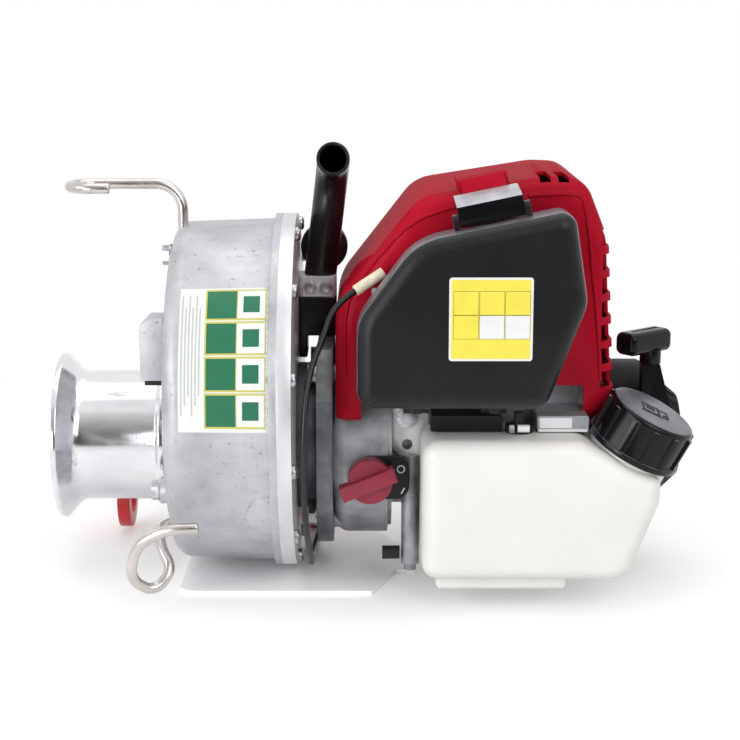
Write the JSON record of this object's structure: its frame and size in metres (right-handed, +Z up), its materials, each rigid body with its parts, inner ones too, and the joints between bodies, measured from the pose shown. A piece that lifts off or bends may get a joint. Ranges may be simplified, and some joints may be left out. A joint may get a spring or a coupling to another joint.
{
  "type": "petrol capstan winch",
  "caption": "Portable petrol capstan winch: small engine, reduction gear case, open capstan drum, rope guides and anchor hooks on a steel plate.",
  "frame": {"origin": "on the underside of the base plate, below the crankshaft's line, level with the engine's near-left face", "axes": "+X from the drum towards the engine along the shafts, +Y away from the side with the air cleaner, +Z up"},
  "size_m": [0.361, 0.2163, 0.2514],
  "materials": {
    "polished_steel": "polished plate",
    "cast_grey": "blasted casting",
    "machined_aluminium": "turned and polished",
    "plain_aluminium": "as cast",
    "stainless": "drawn bar",
    "zinc_steel": "zinc plated",
    "hard_steel": "ground",
    "red_plastic": "moulded, glossy",
    "red_paint": "powder coated",
    "black_plastic": "moulded, satin",
    "white_plastic": "blow moulded, translucent",
    "crimson_plastic": "moulded",
    "beige_rubber": "moulded",
    "black_rubber": "moulded",
    "filter_foam": "open foam",
    "rope": "braided",
    "black_paint": "heat proof paint",
    "black_aluminium": "painted black"
  },
  "bodies": {
    "frame": {"base_plate": "polished_steel", "gear_case": "cast_grey", "case_cover": "cast_grey", "cover_screws": "zinc_steel", "drum_bearings": "hard_steel", "shaft_seal": "black_rubber", "train_bearings": "hard_steel", "stub_axle": "hard_steel", "clutch_housing": "black_aluminium", "engine_plate": "machined_aluminium", "hex_bolts": "zinc_steel", "upper_rope_guide": "stainless", "lower_rope_guide": "stainless", "rope_block": "machined_aluminium", "block_pad": "black_rubber", "anchor_posts": "machined_aluminium", "handle_tube": "black_aluminium", "handle_clamp": "machined_aluminium", "handle_bracket": "black_aluminium", "throttle_body": "black_plastic", "crankcase": "plain_aluminium", "cylinder": "plain_aluminium", "spark_plug": "zinc_steel", "engine_shroud": "red_plastic", "cleaner_case": "black_plastic", "hinge_pins": "zinc_steel", "filter_element": "filter_foam", "carburettor": "plain_aluminium", "fuel_tank": "white_plastic", "fuel_fitting": "black_rubber", "recoil_case": "black_plastic", "switch_plate": "black_plastic", "side_bracket": "plain_aluminium", "muffler": "black_paint", "muffler_guard": "black_paint", "throttle_cable": "black_plastic", "cable_ferrule": "beige_rubber"},
    "drum": {"capstan_drum": "machined_aluminium", "output_shaft": "hard_steel", "drum_bolt": "zinc_steel", "output_gear": "hard_steel"},
    "lay": {"lay_shaft": "hard_steel", "second_gear": "hard_steel"},
    "idler": {"first_gear": "hard_steel"},
    "input": {"input_shaft": "hard_steel", "clutch_drum": "hard_steel"},
    "crank": {"crankshaft": "hard_steel", "flywheel": "plain_aluminium", "clutch_shoes": "hard_steel"},
    "reel": {"starter_reel": "black_plastic"},
    "starter": {"starter_grip": "black_plastic", "starter_rope": "rope"},
    "cover": {"cleaner_cover": "black_plastic"},
    "latch": {"cover_latch": "black_plastic"},
    "cap": {"fuel_cap": "black_plastic"},
    "knob": {"stop_knob": "crimson_plastic"},
    "lever": {"throttle_lever": "zinc_steel"},
    "arm": {"throttle_arm": "zinc_steel"},
    "front_hook": {"front_hook": "red_paint"},
    "rear_hook": {"rear_hook": "red_paint"}
  },
  "joints": [
    {"name": "drum_spin", "type": "hinge", "parent": "frame", "child": "drum", "pos_m": [-0.15, 0, 0.078], "axis": [1, 0, 0], "continuous": true},
    {"name": "lay_spin", "type": "hinge", "parent": "frame", "child": "lay", "pos_m": [-0.08, 0.02189, 0.13814], "axis": [1, 0, 0], "continuous": true},
    {"name": "idler_spin", "type": "hinge", "parent": "frame", "child": "idler", "pos_m": [-0.07, -0.02183, 0.11388], "axis": [1, 0, 0], "continuous": true},
    {"name": "input_spin", "type": "hinge", "parent": "frame", "child": "input", "pos_m": [-0.045, 0, 0.078], "axis": [1, 0, 0], "continuous": true},
    {"name": "crank_spin", "type": "hinge", "parent": "frame", "child": "crank", "pos_m": [0, 0, 0.078], "axis": [1, 0, 0], "continuous": true},
    {"name": "starter_pull", "type": "slide", "parent": "frame", "child": "starter", "axis": [0, 0, 1], "range_m": [0, 0.6], "stiffness_N_per_m": 10, "springref_m": -0.2, "deforming": ["starter_rope"]},
    {"name": "reel_spin", "type": "hinge", "parent": "frame", "child": "reel", "pos_m": [0.159, 0, 0.078], "axis": [1, 0, 0], "range_deg": [-1045, 0]},
    {"name": "cover_hinge", "type": "hinge", "parent": "frame", "child": "cover", "pos_m": [0, -0.08, 0.114], "axis": [1, 0, 0], "range_deg": [0, 50]},
    {"name": "latch_pivot", "type": "hinge", "parent": "cover", "child": "latch", "pos_m": [0.06359, -0.093, 0.22031], "axis": [0.9792, 0, 0.2029], "range_deg": [0, 30]},
    {"name": "cap_turn", "type": "hinge", "parent": "frame", "child": "cap", "pos_m": [0.14393, -0.07285, 0.08859], "axis": [0.4424, -0.1546, 0.8834], "range_deg": [0, 270]},
    {"name": "knob_turn", "type": "hinge", "parent": "frame", "child": "knob", "pos_m": [0, -0.0606, 0.068], "axis": [0, 1, 0], "range_deg": [0, 37]},
    {"name": "lever_turn", "type": "hinge", "parent": "frame", "child": "lever", "pos_m": [-0.0274, 0.0421, 0.1855], "axis": [0, 1, 0], "range_deg": [0, 34]},
    {"name": "arm_turn", "type": "hinge", "parent": "frame", "child": "arm", "pos_m": [0.018, -0.058, 0.164], "axis": [-1, 0, 0], "range_deg": [0, 24]},
    {"name": "front_hook_swing", "type": "hinge", "parent": "frame", "child": "front_hook", "pos_m": [-0.1539, 0.062, 0.06], "axis": [1, 0, 0], "range_deg": [-15, 110]},
    {"name": "rear_hook_swing", "type": "hinge", "parent": "frame", "child": "rear_hook", "pos_m": [-0.0348, 0.062, 0.06], "axis": [1, 0, 0], "range_deg": [-15, 110]}
  ],
  "couplings": [
    {"joint": "lay_spin", "follows": "drum_spin", "ratio": -4.7143},
    {"joint": "idler_spin", "follows": "drum_spin", "ratio": 22.224},
    {"joint": "input_spin", "follows": "drum_spin", "ratio": -111.12},
    {"joint": "reel_spin", "follows": "starter_pull", "rad_per_m": -30.303},
    {"joint": "arm_turn", "follows": "lever_turn", "ratio": 0.7}
  ]
}
